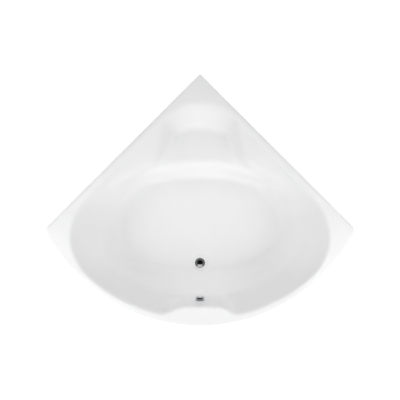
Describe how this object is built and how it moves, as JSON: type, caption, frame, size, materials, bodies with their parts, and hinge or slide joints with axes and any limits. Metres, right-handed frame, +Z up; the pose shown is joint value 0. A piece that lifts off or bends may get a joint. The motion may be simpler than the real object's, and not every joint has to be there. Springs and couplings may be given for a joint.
{
  "type": "corner bathtub",
  "caption": "Corner bathtub with a curved front, a moulded corner seat, a pop-up waste worked by the overflow knob, a steel frame with levelling feet and a removable front panel.",
  "frame": {"origin": "middle of the footprint's bounding box, on the floor", "axes": "+X to the right along the long diagonal between the two ends, +Y towards the room's corner, +Z up out of the basin"},
  "size_m": [2.1268, 1.728, 0.6],
  "materials": {
    "shell_acrylic": "gloss",
    "panel_acrylic": "gloss",
    "chrome": "polished",
    "seal_rubber": "matt",
    "white_polypropylene": "satin",
    "lever_plastic": "matt",
    "zinc_steel": "satin",
    "painted_steel": "satin",
    "foot_plastic": "matt",
    "board": "raw"
  },
  "bodies": {
    "tub": {"base_board": "board", "block_screws": "zinc_steel", "board_screws": "zinc_steel", "centre_rail": "painted_steel", "corner_deck_block": "board", "corner_upright": "painted_steel", "foot_lock_nuts": "zinc_steel", "front_arm_left": "painted_steel", "front_arm_right": "painted_steel", "front_panel": "panel_acrylic", "left_deck_block": "board", "left_upright": "painted_steel", "lever_pin": "zinc_steel", "long_rail": "painted_steel", "outlet_pipe": "white_polypropylene", "overflow_body": "white_polypropylene", "overflow_nuts": "white_polypropylene", "overflow_pipe": "white_polypropylene", "overflow_plate": "chrome", "overflow_screws": "chrome", "overflow_seal": "seal_rubber", "panel_bracket_left": "zinc_steel", "panel_bracket_right": "zinc_steel", "panel_screws": "zinc_steel", "right_deck_block": "board", "right_upright": "painted_steel", "rim_batten_front": "board", "rim_batten_left": "board", "rim_batten_right": "board", "trap_body": "white_polypropylene", "trap_nuts": "white_polypropylene", "tub_shell": "shell_acrylic", "wall_clips": "zinc_steel", "waste_body": "white_polypropylene", "waste_flange": "chrome", "waste_seal_lower": "seal_rubber", "waste_seal_upper": "seal_rubber"},
    "knob": {"overflow_knob": "chrome"},
    "plug": {"plug": "chrome", "plug_seal": "seal_rubber"},
    "lift_lever": {"lift_lever": "lever_plastic"},
    "foot_left": {"foot_pad_left": "foot_plastic", "foot_stud_left": "zinc_steel"},
    "foot_right": {"foot_pad_right": "foot_plastic", "foot_stud_right": "zinc_steel"},
    "foot_corner": {"foot_pad_corner": "foot_plastic", "foot_stud_corner": "zinc_steel"},
    "foot_front_left": {"foot_pad_front_left": "foot_plastic", "foot_stud_front_left": "zinc_steel"},
    "foot_front_right": {"foot_pad_front_right": "foot_plastic", "foot_stud_front_right": "zinc_steel"}
  },
  "joints": [
    {"name": "knob_turn", "type": "hinge", "parent": "tub", "child": "knob", "pos_m": [0, -0.69414, 0.445], "axis": [0, 0.9685, 0.249], "range_deg": [0, 90]},
    {"name": "plug_lift", "type": "slide", "parent": "tub", "child": "plug", "axis": [0, 0, 1], "range_m": [0, 0.01]},
    {"name": "lever_rock", "type": "hinge", "parent": "tub", "child": "lift_lever", "pos_m": [0, -0.423, 0.1099], "axis": [-1, 0, 0], "range_deg": [0, 30]},
    {"name": "foot_left_height", "type": "slide", "parent": "tub", "child": "foot_left", "axis": [0, 0, 1], "range_m": [0, 0.02]},
    {"name": "foot_right_height", "type": "slide", "parent": "tub", "child": "foot_right", "axis": [0, 0, 1], "range_m": [0, 0.02]},
    {"name": "foot_corner_height", "type": "slide", "parent": "tub", "child": "foot_corner", "axis": [0, 0, 1], "range_m": [0, 0.02]},
    {"name": "foot_front_left_height", "type": "slide", "parent": "tub", "child": "foot_front_left", "axis": [0, 0, 1], "range_m": [0, 0.02]},
    {"name": "foot_front_right_height", "type": "slide", "parent": "tub", "child": "foot_front_right", "axis": [0, 0, 1], "range_m": [0, 0.02]}
  ],
  "couplings": [
    {"joint": "plug_lift", "follows": "knob_turn", "m_per_rad": 0.006366},
    {"joint": "lever_rock", "follows": "knob_turn", "ratio": 0.3333}
  ]
}
